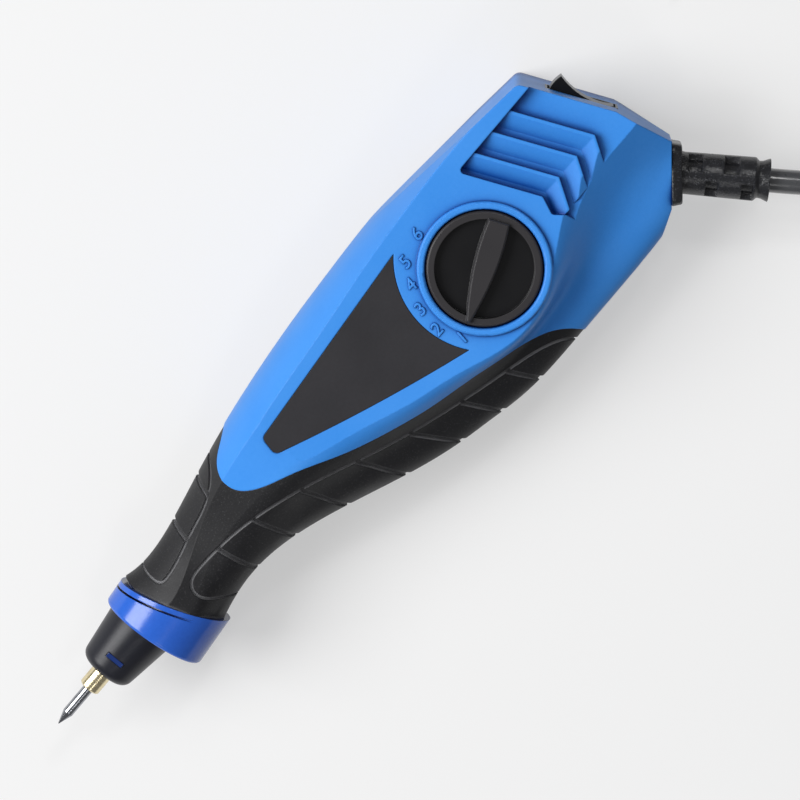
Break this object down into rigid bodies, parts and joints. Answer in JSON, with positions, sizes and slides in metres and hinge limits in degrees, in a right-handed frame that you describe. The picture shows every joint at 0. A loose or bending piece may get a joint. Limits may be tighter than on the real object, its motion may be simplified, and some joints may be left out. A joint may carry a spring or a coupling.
{
  "type": "electric engraving pen",
  "caption": "Hand-held electric engraver: angled two-part housing with grip, stroke dial, rocker switch, striking tip in a nosecone, and mains cord with plug.",
  "frame": {"origin": "on the flat rest face, under the axis of the stroke dial", "axes": "+X towards the tail and the cord, -X towards the tip, +Y towards the finger side, +Z out of the dial face"},
  "size_m": [0.3445, 0.1002, 0.0382],
  "materials": {
    "body_plastic": "satin",
    "collar_plastic": "semi-gloss",
    "grip_rubber": "satin",
    "nose_plastic": "satin",
    "label_sheet": "matt",
    "black_plastic": "satin",
    "inner_plastic": "natural",
    "cord_rubber": "satin",
    "pad_rubber": "matt",
    "bright_steel": "bright",
    "lamination_steel": "stacked sheets",
    "pale_brass": "turned",
    "winding_copper": "varnished"
  },
  "bodies": {
    "housing": {"dial_side_shell": "body_plastic", "rest_side_shell": "body_plastic", "dial_side_grip": "grip_rubber", "rest_side_grip": "grip_rubber", "housing_screws": "bright_steel", "name_plate": "label_sheet", "nose_collar": "collar_plastic", "nosecone": "nose_plastic", "nose_bush": "inner_plastic", "guide_bush": "inner_plastic", "return_spring": "bright_steel", "core": "lamination_steel", "bobbin": "inner_plastic", "winding": "winding_copper", "core_pads": "pad_rubber", "dial_washer": "inner_plastic", "switch_housing": "black_plastic", "switch_terminals": "pale_brass", "strain_relief": "cord_rubber", "inner_cord": "cord_rubber", "cord_clamp": "inner_plastic", "clamp_screws": "bright_steel", "lead_wires": "cord_rubber", "cord": "cord_rubber", "cord_coil": "cord_rubber", "plug_body": "black_plastic", "plug_blades": "pale_brass"},
    "striker": {"plunger": "bright_steel", "chuck": "pale_brass", "chuck_screw": "bright_steel", "engraving_tip": "bright_steel", "spring_clip": "bright_steel", "armature": "lamination_steel", "armature_nut": "bright_steel"},
    "dial": {"dial_knob": "black_plastic", "dial_cam": "inner_plastic", "dial_screw": "bright_steel"},
    "stop": {"stroke_stop": "inner_plastic"},
    "rocker": {"rocker": "black_plastic"}
  },
  "joints": [
    {"name": "stylus_stroke", "type": "slide", "parent": "housing", "child": "striker", "axis": [1, 0, 0], "range_m": [0, 0.0012], "stiffness_N_per_m": 800, "springref_m": -0.001, "deforming": ["return_spring"]},
    {"name": "dial_turn", "type": "hinge", "parent": "housing", "child": "dial", "pos_m": [0, 0, 0.033], "axis": [0, 0, 1], "range_deg": [-98, 0]},
    {"name": "stop_slide", "type": "slide", "parent": "housing", "child": "stop", "axis": [1, 0, 0], "range_m": [0, 0.0014]},
    {"name": "rocker_tilt", "type": "hinge", "parent": "housing", "child": "rocker", "pos_m": [0.04164, 0.0067, 0.018], "axis": [0, 0, 1], "range_deg": [0, 28]}
  ],
  "couplings": [
    {"joint": "stop_slide", "follows": "dial_turn", "m_per_rad": -0.0008185}
  ]
}
